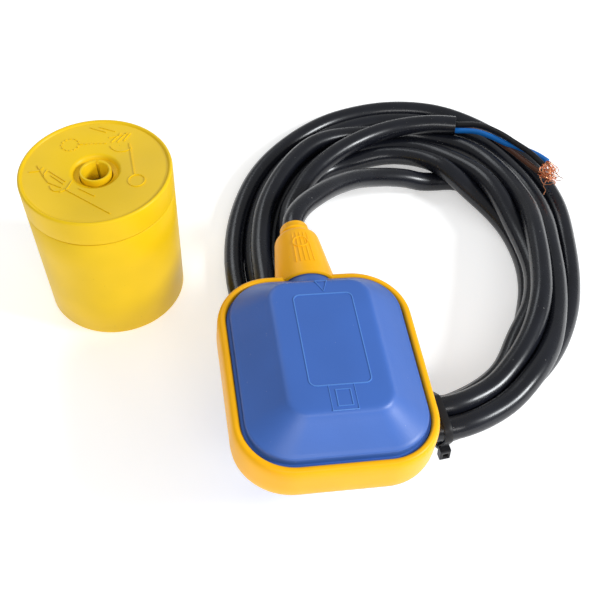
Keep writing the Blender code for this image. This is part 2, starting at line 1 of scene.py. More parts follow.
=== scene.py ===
"""The looks of the float switch: its coiled cable, float, counterweight and bare cores.

Lengths are in millimetres and angles in degrees until an object is made. MM turns them into metres.
Lights and bump distances are in metres throughout, and noise scales are per metre.
"""

import math

import bmesh
import bpy
import numpy as np
from mathutils import Euler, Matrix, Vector

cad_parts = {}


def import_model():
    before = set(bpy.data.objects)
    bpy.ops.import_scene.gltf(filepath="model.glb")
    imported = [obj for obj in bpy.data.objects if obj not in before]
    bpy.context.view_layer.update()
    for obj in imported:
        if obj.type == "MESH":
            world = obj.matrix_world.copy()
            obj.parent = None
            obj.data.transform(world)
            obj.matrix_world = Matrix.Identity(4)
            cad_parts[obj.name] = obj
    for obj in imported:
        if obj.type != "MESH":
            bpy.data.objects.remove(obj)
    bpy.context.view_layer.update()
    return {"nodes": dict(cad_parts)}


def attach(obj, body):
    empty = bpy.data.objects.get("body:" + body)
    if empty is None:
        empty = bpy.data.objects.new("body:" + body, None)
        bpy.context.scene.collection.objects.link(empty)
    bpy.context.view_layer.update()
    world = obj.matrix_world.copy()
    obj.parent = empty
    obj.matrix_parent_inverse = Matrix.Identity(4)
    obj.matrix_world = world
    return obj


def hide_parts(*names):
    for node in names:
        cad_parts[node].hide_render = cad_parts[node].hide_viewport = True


MM = 0.001

# Sizes that the looks share with the CAD, or keep close to it.
FLOAT_CENTRE = (43.73, -35.55, 43.3)
FLOAT_TILT = (1.2, 5.1, 8.9)
BELT_HALF = (40.5, 47.6)
BELT_CORNER = 23.2
BELT_WALL = 3.5
BELT_HALF_HEIGHT = 8.6
CASING_HALF_HEIGHT = 22.5
PLATEAU_HALF_WIDTH = 20.9
PLATEAU_FRONT, PLATEAU_REAR = -31.5, 32.2
PLATEAU_CORNER = 8.4
GLAND_END_Y = 81.5
GLAND_R = 6.4
GLAND_BEAD = 0.35
NECK_ROOT_Y, NECK_ROOT_R = 47.0, 13.2
NECK_TAPER = 0.128
CABLE_R = 4.9
CABLE_D = 2 * CABLE_R
# The coil's band lies between two ovals, each with its centre and half axes.
COIL_OUTER_CENTRE, COIL_OUTER_HALF = (84.1, 66.9), (87.6, 114.7)
COIL_INNER_CENTRE, COIL_INNER_HALF = (80.6, 43.6), (56.4, 69.8)
COIL_SKEW = 12.0
TIE_ANGLE = -82.5

WEIGHT_CENTRE = (-54.57, 52.05, 0.0)
WEIGHT_TOP_R, WEIGHT_BASE_R = 33.5, 31.6
WEIGHT_HEIGHT = 75.0
WEIGHT_WALL = 2.2
WEIGHT_FLOOR = 2.4
LID_HEIGHT = 13.0
LID_RECESS = 1.05
LID_HUB_FOOT = 62.6
MOUTH_R = 10.3
BORE_R = 8.0
CLIP_OUTER_R, CLIP_INNER_R = 7.0, 5.6
CLIP_TOP = 74.2
CLIP_BOTTOM = 64.5
CLIP_SPLIT = 12
# The gap round pieces that fit into each other.
CLEARANCE = 0.35

CAMERA_AT = (34.13, -269.25, 369.8)
CAMERA_TILT = 40.0
CAMERA_LENS, CAMERA_SENSOR = 60.0, 36.0
FLOOR_HALF, FLOOR_LEVEL = 2500, -0.1

# Room that the cable's centreline keeps under the float, in the float's own axes.
RIM_INSET = 5.4
SLOPE_FOOT = 10.7
ROOM_AT_SLOPE, ROOM_AT_BELT = 6.6, 5.3
BESIDE_BELT = 3.0
NECK_HALF_WIDTH, NECK_FROM_Y, NECK_TO_Y = 15, 40, 80
NECK_UNDERSIDE = -13.5

# How the cable settles into its slots. Stretches and counts along the cable are in its points, and a
# share is how much of a distance one step makes up.
CURVE_STEPS = 12
CABLE_SPACING = 3.0
LEAD_BACK, LEAD_AHEAD = 1.2, 3.0
SETTLE_STEPS = 460
BENDING_STEPS = 380
SEARCH_EVERY = 8
SEARCH_REACH = 4
SEARCH_APART = 9
STRAND_GAP = 0.12
PUSH_SHARE = 0.35
BEND_SHARE = 0.45
FLOAT_SHARE = 0.9
SIGHT_SHARE = 0.7
PULL_SHARE = 0.04
PULL_SHARES = ((slice(0, 40), 0.5), (slice(0, 6), 1.0), (slice(60, 140), 0.006), (slice(-36, None), 0.2))
FIXED_POINTS = 6
LEAD_POINTS = 30

# The cable tie: the strap lies under the bundle and lifts it a little.
TIE_INSET, TIE_LIFT, TIE_REACH = 11.0, 1.5, 17.0
TIE_CLEARANCE = 0.25
TIE_STEPS = 72
TIE_SECTION = ((-1.7, 0.0), (-1.7, 0.9), (-1.4, 1.1), (1.4, 1.1), (1.7, 0.9), (1.7, 0.0))
TIE_HEAD_HEIGHT = 11.0
TIE_HEAD_OUT = 2.8

FLUTE_R, NECK_RING_R = 0.36, 0.42
COPPER_STRANDS = 54
COPPER_R, STRAY_R = 0.19, 0.16
CIRCLE_STEPS = 28


# ---------------------------------------------------------------- cable route


def oval_point(centre, half, angle):
    turn = math.radians(angle)
    return np.array((centre[0] + half[0] * math.cos(turn), centre[1] + half[1] * math.sin(turn)))


def band_point(angle, inset, height):
    """A point over the coil's band: inset runs inwards from its outer edge."""
    inner = oval_point(COIL_INNER_CENTRE, COIL_INNER_HALF, angle)
    skew = COIL_SKEW * math.cos(math.radians(angle))
    outer = oval_point(COIL_OUTER_CENTRE, COIL_OUTER_HALF, angle - skew)
    inwards = (inner - outer) / np.linalg.norm(inner - outer)
    spot = outer + inwards * inset
    return (spot[0], spot[1], height)


# Each lap of the coil as (angle, inset from the outer edge, height) where it was laid, in the order
# of the cable from the gland. The first lap starts at the rear, where the lead comes down.
LAP_BURIED = [
    (60, 45.0, 4.9), (45, 33.0, 4.9), (30, 24.0, 4.9), (15, 18.5, 4.9), (0, 15.8, 5.6), (-15, 16.0, 8.2),
    (-30, 15.0, 11.5), (-45, 9.8, 14.0), (-60, 7.3, 13.8), (-80, 5.8, 14.8), (-100, 6.0, 8.0),
    (-120, 5.2, 4.9), (-140, 5.4, 4.9), (-160, 5.8, 4.9), (-180, 6.2, 4.9),
]
LAP_OUTER = [
    (165, 6.7, 4.9), (150, 7.0, 4.9), (135, 6.7, 4.9), (120, 6.4, 4.9), (105, 6.4, 4.9), (90, 4.6, 4.9),
    (75, 1.9, 4.9), (60, 0.8, 4.9), (45, 0.2, 4.9), (30, 1.1, 4.9), (15, 5.0, 4.9), (0, 6.4, 4.9),
    (-15, 7.9, 4.9), (-30, 10.0, 4.9), (-45, 12.0, 5.0), (-60, 12.2, 5.2), (-80, 12.0, 6.4),
    (-100, 14.5, 4.9), (-120, 15.2, 4.9), (-140, 15.6, 4.9), (-160, 16.0, 4.9), (-180, 16.2, 4.9),
]
LAP_SECOND = [
    (165, 16.3, 4.9), (150, 16.8, 4.9), (135, 16.5, 4.9), (120, 16.8, 4.9), (105, 16.0, 4.9),
    (90, 15.0, 4.9), (75, 12.3, 4.9), (60, 10.8, 4.9), (45, 11.5, 5.5), (30, 13.5, 8.5), (15, 16.8, 13.0),
    (0, 15.3, 15.2), (-15, 12.8, 17.0), (-30, 9.6, 20.5), (-45, 6.2, 23.0), (-60, 3.0, 22.5),
    (-80, 0.4, 22.8), (-100, 6.5, 15.5), (-120, 10.0, 13.4), (-140, 12.0, 13.4), (-160, 15.5, 13.6),
    (-180, 18.5, 13.6),
]
LAP_TOP = [
    (165, 19.5, 13.6), (150, 20.5, 13.6), (135, 22.5, 13.0), (120, 24.0, 9.5), (105, 25.5, 6.0),
    (90, 25.0, 4.9), (75, 23.4, 6.0), (60, 22.8, 9.5), (45, 24.4, 13.0), (30, 26.2, 17.6), (15, 26.6, 21.8),
    (0, 24.0, 24.3), (-15, 20.6, 25.6), (-30, 17.4, 24.0), (-45, 14.6, 23.5), (-60, 11.5, 22.8),
    (-80, 9.6, 23.3), (-100, 16.5, 14.5), (-120, 22.0, 10.5), (-140, 25.5, 6.0), (-160, 26.0, 4.9),
    (-180, 26.2, 4.9),
]
LAP_FOURTH = [
    (165, 26.2, 4.9), (150, 26.2, 4.9), (135, 25.5, 4.9), (120, 26.8, 4.9), (105, 33.0, 4.9),
    (90, 36.3, 5.5), (75, 38.4, 8.5), (60, 40.6, 12.4), (45, 39.4, 14.8), (30, 34.6, 15.0), (15, 29.3, 14.7),
    (0, 24.6, 14.8), (-15, 22.8, 15.8), (-30, 22.2, 14.8), (-45, 19.2, 14.2), (-60, 17.5, 13.8),
    (-80, 15.2, 14.8), (-100, 26.0, 15.0), (-120, 34.5, 9.0), (-140, 36.5, 5.0), (-160, 36.3, 4.9),
    (-180, 36.0, 4.9),
]
LAP_INNER = [
    (165, 35.5, 4.9), (150, 35.0, 4.9), (135, 33.0, 4.9), (120, 34.0, 4.9), (105, 41.0, 4.9),
    (90, 45.5, 8.0), (75, 48.6, 11.6), (60, 49.4, 13.6), (45, 42.6, 10.5), (30, 34.6, 6.5), (15, 28.7, 4.9),
    (0, 25.4, 4.9), (-15, 23.8, 4.9), (-30, 22.8, 4.9), (-45, 22.4, 5.0), (-60, 22.2, 5.2),
    (-80, 21.0, 6.4), (-100, 25.0, 6.5), (-120, 28.0, 11.0), (-140, 30.5, 14.0), (-160, 31.5, 15.0),
    (-180, 31.5, 15.2),
]
# The last stretch, on top of the coil, up to the cut jacket.
END_ROUTE = [
    (28.3, 84.0, 15.2), (32.6, 97.6, 15.2), (39.4, 112.4, 15.2), (48.6, 124.6, 15.2), (60.6, 135.8, 15.2),
    (73.8, 144.4, 15.2), (88.2, 150.1, 15.2), (104.6, 152.6, 15.3), (118.0, 151.2, 15.6),
]
# The first stretch, from the gland down into the coil.
LEAD_ROUTE = [
    (32.3, 54.6, 44.4), (36.0, 63.2, 42.2), (41.6, 72.4, 39.0), (48.0, 82.0, 34.8), (54.8, 91.0, 30.0),
    (62.4, 99.2, 25.0), (71.0, 106.2, 19.5), (80.2, 111.8, 14.5), (89.6, 115.6, 10.0), (98.2, 117.0, 6.6),
]


def float_turn():
    return Euler([math.radians(a) for a in FLOAT_TILT], "XYZ").to_matrix()


def on_gland_axis(distance):
    return tuple(np.array(FLOAT_CENTRE) + np.array(float_turn()) @ np.array((0.0, distance, 0.0)))


def smooth_path(route, spacing):
    """Points spacing apart on a centripetal Catmull-Rom curve through the route's points."""
    spots = np.array(route, float)
    spots = np.vstack([2 * spots[0] - spots[1], spots, 2 * spots[-1] - spots[-2]])
    fine = []
    for p0, p1, p2, p3 in zip(spots, spots[1:], spots[2:], spots[3:]):
        t0 = 0.0
        t1 = t0 + np.linalg.norm(p1 - p0) ** 0.5
        t2 = t1 + np.linalg.norm(p2 - p1) ** 0.5
        t3 = t2 + np.linalg.norm(p3 - p2) ** 0.5
        for t in np.linspace(t1, t2, CURVE_STEPS + 1)[:-1]:
            a1 = (t1 - t) / (t1 - t0) * p0 + (t - t0) / (t1 - t0) * p1
            a2 = (t2 - t) / (t2 - t1) * p1 + (t - t1) / (t2 - t1) * p2
            a3 = (t3 - t) / (t3 - t2) * p2 + (t - t2) / (t3 - t2) * p3
            b1 = (t2 - t) / (t2 - t0) * a1 + (t - t0) / (t2 - t0) * a2
            b2 = (t3 - t) / (t3 - t1) * a2 + (t - t1) / (t3 - t1) * a3
            fine.append((t2 - t) / (t2 - t1) * b1 + (t - t1) / (t2 - t1) * b2)
    fine.append(spots[-2])
    fine = np.array(fine)
    along = np.concatenate([[0.0], np.cumsum(np.linalg.norm(np.diff(fine, axis=0), axis=1))])
    count = max(2, round(along[-1] / spacing) + 1)
    wanted = np.linspace(0.0, along[-1], count)
    return np.column_stack([np.interp(wanted, along, fine[:, axis]) for axis in range(3)])


def rounded_distance(x, y, half_width, front, rear, corner):
    """Distance outside a rectangle with round corners, negative inside."""
    middle, half = (front + rear) / 2, (rear - front) / 2
    across = np.abs(x) - (half_width - corner)
    along = np.abs(y - middle) - (half - corner)
    outside = np.hypot(np.maximum(across, 0), np.maximum(along, 0))
    return outside + np.minimum(np.maximum(across, along), 0) - corner


def float_ceiling(points):
    """In the float's axes: the height that each point has to stay under, and the points themselves."""
    local = (points - np.array(FLOAT_CENTRE)) @ np.array(float_turn())
    x, y = local[:, 0], local[:, 1]
    plateau = rounded_distance(x, y, PLATEAU_HALF_WIDTH, PLATEAU_FRONT, PLATEAU_REAR, PLATEAU_CORNER)
    half_width, half_length = BELT_HALF
    rim = rounded_distance(
        x, y, half_width - RIM_INSET, RIM_INSET - half_length, half_length - RIM_INSET,
        BELT_CORNER - RIM_INSET,
    )
    belt = rounded_distance(x, y, half_width, -half_length, half_length, BELT_CORNER)
    share = np.clip(plateau / np.maximum(plateau - rim, 1e-6), 0, 1)
    under = -CASING_HALF_HEIGHT + (CASING_HALF_HEIGHT - SLOPE_FOOT) * share
    under = np.where(plateau < 0, -CASING_HALF_HEIGHT, under)
    under = np.where(rim > 0, -BELT_HALF_HEIGHT, under)
    room = np.where((plateau > -2) & (rim < 0), ROOM_AT_SLOPE, ROOM_AT_BELT)
    neck = (np.abs(x) < NECK_HALF_WIDTH) & (y > NECK_FROM_Y) & (y < NECK_TO_Y)
    free = (belt > BESIDE_BELT) & ~neck
    limit = np.where(neck & (belt > 0), NECK_UNDERSIDE, under) - room
    return np.where(free, 1e3, limit), local


def tie_lift(points):
    """How much higher each point lies because the tie's strap is under the bundle."""
    strap = np.array(band_point(TIE_ANGLE, TIE_INSET, 0.0))
    away = np.linalg.norm(points[:, :2] - strap[:2], axis=1)
    return TIE_LIFT * np.exp(-((away / TIE_REACH) ** 2))


def laid_cable():
    """The cable's centreline from the gland: its laps, eased apart where strands would lie in each other."""
    laps = [*LAP_BURIED, *LAP_OUTER, *LAP_SECOND, *LAP_TOP, *LAP_FOURTH, *LAP_INNER]
    start = [on_gland_axis(GLAND_END_Y - LEAD_BACK), on_gland_axis(GLAND_END_Y + LEAD_AHEAD)]
    route = [*start, *LEAD_ROUTE, *[band_point(*slot) for slot in laps], *END_ROUTE]
    target = smooth_path(route, CABLE_SPACING)
    spots = target.copy()
    count = len(spots)
    float_up = np.array(float_turn())[:, 2]
    sight = target - np.array(CAMERA_AT)
    sight /= np.linalg.norm(sight, axis=1)[:, None]
    pull = np.full(count, PULL_SHARE)
    for stretch, share in PULL_SHARES:
        pull[stretch] = share
    index = np.arange(count)
    pairs = None
    for step in range(SETTLE_STEPS):
        if step % SEARCH_EVERY == 0:
            gap2 = ((spots[:, None, :] - spots[None, :, :]) ** 2).sum(2)
            near = (gap2 < (CABLE_D + SEARCH_REACH) ** 2) & (index[None, :] - index[:, None] > SEARCH_APART)
            pairs = np.nonzero(near)
        first, second = pairs
        apart = spots[second] - spots[first]
        gap = np.linalg.norm(apart, axis=1)
        short = np.maximum(CABLE_D + STRAND_GAP - gap, 0.0)
        push = apart / gap[:, None] * (short * PUSH_SHARE)[:, None]
        np.add.at(spots, second, push)
        np.add.at(spots, first, -push)
        drift = target - spots
        along = (drift * sight).sum(1)[:, None] * sight
        spots += pull[:, None] * (drift - SIGHT_SHARE * along)
        shift = spots - target
        for _ in range(3):
            shift[1:-1] += 0.5 * ((shift[:-2] + shift[2:]) / 2 - shift[1:-1])
        shift[:FIXED_POINTS] = 0.0
        spots = target + shift
        if step < BENDING_STEPS:
            middle = (spots[FIXED_POINTS - 1:-3] + spots[FIXED_POINTS + 1:-1]) / 2
            spots[FIXED_POINTS:-2] += BEND_SHARE * (middle - spots[FIXED_POINTS:-2])
        spots[:, 2] = np.maximum(spots[:, 2], CABLE_R + tie_lift(spots))
        limit, local = float_ceiling(spots)
        over = np.maximum(local[:, 2] - limit, 0.0)
        over[:LEAD_POINTS] = 0.0
        spots -= FLOAT_SHARE * over[:, None] * float_up[None, :]
    return spots


# ---------------------------------------------------------------- making objects


def skin(name, points, faces, finish, smooth=35.0):
    """A mesh from points in millimetres."""
    mesh = bpy.data.meshes.new(name)
    mesh.from_pydata([Vector(p) * MM for p in points], [], faces)
    shape = bmesh.new()
    shape.from_mesh(mesh)
    bmesh.ops.recalc_face_normals(shape, faces=shape.faces)
    shape.to_mesh(mesh)
    shape.free()
    mesh.materials.append(finish)
    mesh.shade_smooth()
    mesh.set_sharp_from_angle(angle=math.radians(smooth))
    made = bpy.data.objects.new(name, mesh)
    bpy.context.scene.collection.objects.link(made)
    return made


def lofted(rings, closed=False):
    """Points and faces of a skin over rings of equal length, capped at both ends unless closed."""
    size = len(rings[0])
    points = [p for ring in rings for p in ring]
    faces = []
    for i in range(len(rings) if closed else len(rings) - 1):
        here, there = i * size, (i + 1) % len(rings) * size
        for j in range(size):
            k = (j + 1) % size
            faces.append((here + j, here + k, there + k, there + j))
    if not closed:
        faces.append(tuple(range(size)))
        faces.append(tuple(range(len(points) - size, len(points))))
    return points, faces


def merged(*parts):
    """Several (points, faces) as one."""
    points, faces = [], []
    for more_points, more_faces in parts:
        start = len(points)
        points += list(more_points)
        faces += [tuple(start + corner for corner in face) for face in more_faces]
    return points, faces


def turned(profile, centre=(0, 0, 0), axis="z", closed=True, steps=72):
    """A turned skin. profile is a list of (radius, height): a closed loop, or a run that is capped."""
    rings = []
    for radius, height in profile:
        ring = []
        for i in range(steps):
            angle = 2 * math.pi * i / steps
            across, along = radius * math.cos(angle), radius * math.sin(angle)
            offset = (across, along, height) if axis == "z" else (across, height, along)
            ring.append(tuple(c + o for c, o in zip(centre, offset)))
        rings.append(ring)
    return lofted(rings, closed)


def tube(name, points, radius, finish, sides=6):
    """A round bar along points."""
    curve = bpy.data.curves.new(name, "CURVE")
    curve.dimensions = "3D"
    spline = curve.splines.new("POLY")
    spline.points.add(len(points) - 1)
    for point, spot in zip(spline.points, points):
        point.co = (*(Vector(spot) * MM), 1.0)
    spline.use_smooth = True
    curve.bevel_depth = radius * MM
    curve.bevel_resolution = sides
    curve.use_fill_caps = True
    curve.materials.append(finish)
    made = bpy.data.objects.new(name, curve)
    bpy.context.scene.collection.objects.link(made)
    return made


def bar(route, radius, steps=8):
    """Points and faces of a round bar with closed ends along a route."""
    spots = [Vector(p) for p in route]
    rings = []
    side = None
    for i, spot in enumerate(spots):
        ahead = (spots[min(i + 1, len(spots) - 1)] - spots[max(i - 1, 0)]).normalized()
        if side is None:
            side = ahead.orthogonal().normalized()
        side = (side - ahead * side.dot(ahead)).normalized()
        other = ahead.cross(side)
        ring = []
        for k in range(steps):
            angle = 2 * math.pi * k / steps
            ring.append(tuple(spot + radius * (math.cos(angle) * side + math.sin(angle) * other)))
        rings.append(ring)
    return lofted(rings)


def in_float(points):
    """Points from the float's own axes to the frame's."""
    turn = float_turn()
    return [tuple(Vector(FLOAT_CENTRE) + turn @ Vector(p)) for p in points]


def place(obj, body, slot, *nodes):
    """Gives an object its body and hides the CAD nodes that it replaces. slot is not used."""
    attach(obj, body)
    if nodes:
        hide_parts(*nodes)
    return obj


# ---------------------------------------------------------------- materials


class Nodes:
    """A material's node tree with its Principled shader."""

    def __init__(self, name, colour, roughness, metallic=0.0, specular=0.5):
        self.made = bpy.data.materials.new(name)
        self.made.use_nodes = True
        self.tree = self.made.node_tree
        self.shader = self.tree.nodes["Principled BSDF"]
        self.shader.inputs["Base Color"].default_value = (*colour, 1.0)
        self.shader.inputs["Roughness"].default_value = roughness
        self.shader.inputs["Metallic"].default_value = metallic
        self.shader.inputs["Specular IOR Level"].default_value = specular
        self.where = self.tree.nodes.new("ShaderNodeTexCoord").outputs["Object"]

    def noise(self, scale, detail=3.0, roughness=0.55):
        made = self.tree.nodes.new("ShaderNodeTexNoise")
        made.inputs["Scale"].default_value = scale
        made.inputs["Detail"].default_value = detail
        made.inputs["Roughness"].default_value = roughness
        self.tree.links.new(self.where, made.inputs["Vector"])
        return made.outputs["Fac"]

    def ramp(self, source, stops):
        made = self.tree.nodes.new("ShaderNodeValToRGB")
        band = made.color_ramp
        while len(band.elements) < len(stops):
            band.elements.new(0.5)
        for element, (spot, colour) in zip(band.elements, stops):
            element.position = spot
            element.color = (*colour, 1.0)
        self.tree.links.new(source, made.inputs["Fac"])
        return made.outputs["Color"]

    def mix(self, share, first, second):
        made = self.tree.nodes.new("ShaderNodeMix")
        made.data_type = "RGBA"
        for socket, value in ((made.inputs[0], share), (made.inputs[6], first), (made.inputs[7], second)):
            if isinstance(value, bpy.types.NodeSocket):
                self.tree.links.new(value, socket)
            else:
                socket.default_value = value
        return made.outputs[2]

    def feed(self, socket, source):
        self.tree.links.new(source, self.shader.inputs[socket])

    def range(self, source, low, high):
        made = self.tree.nodes.new("ShaderNodeMapRange")
        made.inputs["To Min"].default_value = low
        made.inputs["To Max"].default_value = high
        self.tree.links.new(source, made.inputs["Value"])
        return made.outputs["Result"]

    def bump(self, source, strength, distance):
        made = self.tree.nodes.new("ShaderNodeBump")
        made.inputs["Strength"].default_value = strength
        made.inputs["Distance"].default_value = distance
        self.tree.links.new(source, made.inputs["Height"])
        self.tree.links.new(made.outputs["Normal"], self.shader.inputs["Normal"])


def shade(colour, factor):
    return tuple(min(1.0, c * factor) for c in colour)


def moulded(name, colour, roughness, relief=0.05, fleck=(0.35, 0.30, 0.22), specular=0.22):
    """Moulded plastic: a slow drift of colour, a fine satin grain and a few specks of dust."""
    nodes = Nodes(name, colour, roughness, specular=specular)
    slow = nodes.noise(28.0, 2.0)
    base = nodes.ramp(slow, [(0.3, shade(colour, 0.93)), (0.7, shade(colour, 1.05))])
    specks = nodes.noise(1100.0, 1.0, 0.4)
    mask = nodes.ramp(specks, [(0.80, (0, 0, 0)), (0.83, (0.5, 0.5, 0.5))])
    nodes.feed("Base Color", nodes.mix(mask, base, (*fleck, 1.0)))
    nodes.feed("Roughness", nodes.range(nodes.noise(90.0, 3.0), roughness - 0.05, roughness + 0.07))
    nodes.bump(nodes.noise(900.0, 2.0), relief, 0.0004)
    return nodes.made


def jacket(name):
    """The cable's jacket: charcoal, half gloss, with faint scuffs and pale specks."""
    colour = (0.0058, 0.0066, 0.0105)
    nodes = Nodes(name, colour, 0.27, specular=0.46)
    base = nodes.ramp(nodes.noise(60.0, 3.0), [(0.3, shade(colour, 0.8)), (0.75, shade(colour, 1.35))])
    mask = nodes.ramp(nodes.noise(1000.0, 1.0, 0.4), [(0.785, (0, 0, 0)), (0.81, (0.5, 0.5, 0.5))])
    nodes.feed("Base Color", nodes.mix(mask, base, (0.32, 0.31, 0.29, 1.0)))
    nodes.feed("Roughness", nodes.range(nodes.noise(140.0, 4.0), 0.20, 0.34))
    nodes.bump(nodes.noise(300.0, 2.0), 0.03, 0.0003)
    return nodes.made


def metal(name, colour, roughness, relief=0.05):
    nodes = Nodes(name, colour, roughness, 1.0)
    tint = nodes.ramp(nodes.noise(300.0, 3.0), [(0.3, shade(colour, 0.8)), (0.7, shade(colour, 1.1))])
    nodes.feed("Base Color", tint)
    nodes.feed("Roughness", nodes.range(nodes.noise(500.0, 3.0), roughness - 0.06, roughness + 0.12))
    nodes.bump(nodes.noise(900.0, 2.0), relief, 0.0003)
    return nodes.made


def foamed(name, colour):
    nodes = Nodes(name, colour, 0.9, specular=0.2)
    cells = nodes.noise(1400.0, 2.0)
    nodes.feed("Base Color", nodes.ramp(cells, [(0.35, shade(colour, 0.7)), (0.65, shade(colour, 1.1))]))
    nodes.bump(cells, 0.5, 0.001)
    return nodes.made


# ---------------------------------------------------------------- float


def rounded_outline(half_width, front, rear, corner, steps=16):
    corners = (
        (half_width - corner, rear - corner, 0), (corner - half_width, rear - corner, 90),
        (corner - half_width, front + corner, 180), (half_width - corner, front + corner, 270),
    )
    outline = []
    for x, y, start in corners:
        for i in range(steps + 1):
            angle = math.radians(start + 90 * i / steps)
            outline.append((x + corner * math.cos(angle), y + corner * math.sin(angle)))
    return outline


def belt_outline(inset):
    half_width, half_length = BELT_HALF
    return rounded_outline(half_width - inset, inset - half_length, half_length - inset, BELT_CORNER - inset)


def plateau_outline(inset):
    return rounded_outline(
        PLATEAU_HALF_WIDTH - inset, PLATEAU_FRONT + inset, PLATEAU_REAR - inset, PLATEAU_CORNER - inset
    )


def at_height(outline, height):
    return [(x, y, height) for x, y in outline]


def between(first, second, share):
    return [(a + (c - a) * share, b + (d - b) * share) for (a, b), (c, d) in zip(first, second)]


def sleeve_radius(y):
    """The neck's radius at this distance from the float's middle."""
    return NECK_ROOT_R - NECK_TAPER * (y - NECK_ROOT_Y)


def make_casing(side, name, node, finish):
    """One blue shell with its rim, soft-edged slopes and plateau. side is 1 for the upper one."""
    rim, plateau = belt_outline(BELT_WALL + 2.6), plateau_outline(0.0)
    top = CASING_HALF_HEIGHT
    steps = [
        (belt_outline(BELT_WALL + CLEARANCE), 0.2), (belt_outline(BELT_WALL + CLEARANCE), 7.0),
        (belt_outline(BELT_WALL + 1.45), 7.05), (belt_outline(BELT_WALL + 1.5), 9.7),
        (belt_outline(BELT_WALL + 1.65), 10.3), (belt_outline(BELT_WALL + 2.05), 10.75), (rim, 11.05),
    ]
    slopes = (
        (0.06, 11.65), (0.35, 14.75), (0.65, 17.95), (0.82, 19.7), (0.88, 20.3), (0.93, 20.85), (0.97, 21.3),
        (1.0, 21.65),
    )
    steps += [(between(rim, plateau, share), height) for share, height in slopes]
    steps += [
        (plateau_outline(0.5), top - 0.5), (plateau_outline(1.1), top - 0.22),
        (plateau_outline(1.9), top - 0.06), (plateau_outline(3.0), top),
    ]
    rings = [at_height(outline, side * height) for outline, height in steps]
    points, faces = lofted(rings)
    shell = skin(name, in_float(points), faces, finish, smooth=50.0)
    return place(shell, "float_and_cable", "float_blue", node)


def make_belt(finish):
    """The yellow moulding: its belt, the neck with its arched mouth, and the lip behind the gland."""
    wall = BELT_WALL
    section = [
        (1.0, -8.35), (0.4, -7.3), (0.08, -5.4), (0.0, -2.5), (0.0, 2.5), (0.08, 5.4), (0.4, 7.2),
        (0.95, 8.2), (1.6, 8.62), (2.5, 8.7), (3.15, 8.45), (wall, 7.8), (wall, -7.8), (3.15, -8.45),
        (2.5, -8.7), (1.7, -8.65),
    ]
    belt = lofted([at_height(belt_outline(inset), height) for inset, height in section], closed=True)
    start = BELT_HALF[1] - BELT_WALL + 0.2
    root = sleeve_radius(start)
    cone = [
        (root - 1.6, start + 0.5), (root - 1.15, start), (root - 0.45, start), (root + 0.05, start + 0.45),
        *[(sleeve_radius(y), y) for y in (46.5, 50.0, 54.0, 58.0, 62.0, 66.0, 70.0)],
        (sleeve_radius(72), 72.0), (sleeve_radius(73) - 0.25, 73.1), (sleeve_radius(74) - 0.75, 74.0),
        (sleeve_radius(75) - 1.5, 74.75), (sleeve_radius(75) - 2.2, 75.15), (GLAND_R + 0.9, 75.4),
        (GLAND_R + CLEARANCE, 75.45), (GLAND_R + CLEARANCE, 73.6),
        (sleeve_radius(72) - 2.2, 72.4), (root - 3.4, 52.0),
    ]
    sleeve = turned(cone, axis="y", steps=88)
    points, faces = merged(belt, sleeve)
    shell = skin("belt_moulding", in_float(points), faces, finish, smooth=45.0)
    return place(shell, "float_and_cable", "float_yellow", "belt_and_neck")


def on_cone(y, angle, lift=0.0):
    """A point on the neck, angle degrees round from its top."""
    radius = sleeve_radius(y) + lift
    return (radius * math.sin(math.radians(angle)), y, radius * math.cos(math.radians(angle)))


def make_neck_relief(yellow, blue):
    """Raised flutes and a ring on the neck, and the blue dome that shows in its mouth."""
    parts = []
    for angle in (-20, -11, -2, 7, 16):
        parts.append(bar([on_cone(y, angle, -0.10) for y in (51.5, 54, 58, 62, 66, 70)], FLUTE_R, 8))
    loop = []
    for i in range(29):
        turn = 2 * math.pi * i / 28
        loop.append(on_cone(64.0 + 3.1 * math.cos(turn), -4 + 17 * math.sin(turn), 0.05))
    parts.append(bar(loop, NECK_RING_R, 8))
    points, faces = merged(*parts)
    relief = skin("neck_flutes", in_float(points), faces, yellow, smooth=60.0)
    place(relief, "float_and_cable", "float_yellow")
    dome = [
        (0.01, 33.0), (9.0, 33.2), (12.2, 34.8), (13.0, 37.0), (12.8, 42.0), (11.6, 45.5), (11.0, 50.0),
        (0.01, 50.2),
    ]
    points, faces = turned(dome, axis="y", closed=False, steps=72)
    place(skin("neck_dome", in_float(points), faces, blue, smooth=50.0), "float_and_cable", "float_blue")


def strip(route, width, height, level, closed=False):
    """A low raised line on a flat face at this level, with sloping sides."""
    spots = [Vector((x, y)) for x, y in route]
    count = len(spots)
    rings = []
    for i, spot in enumerate(spots):
        before = spots[(i - 1) % count] if closed or i else spots[0]
        after = spots[(i + 1) % count] if closed or i < count - 1 else spots[-1]
        ahead = (after - before).normalized()
        side = Vector((-ahead.y, ahead.x))
        ring = []
        for across, up in ((-0.5, -0.1), (-0.28, height), (0.28, height), (0.5, -0.1)):
            edge = spot + side * (across * width)
            ring.append((edge.x, edge.y, level + up))
        rings.append(ring)
    return lofted(rings, closed)


def circle(x, y, radius, start=0.0, sweep=360.0, steps=CIRCLE_STEPS):
    spots = []
    for i in range(steps if sweep == 360 else steps + 1):
        turn = math.radians(start + sweep * i / steps)
        spots.append((x + radius * math.cos(turn), y + radius * math.sin(turn)))
    return spots


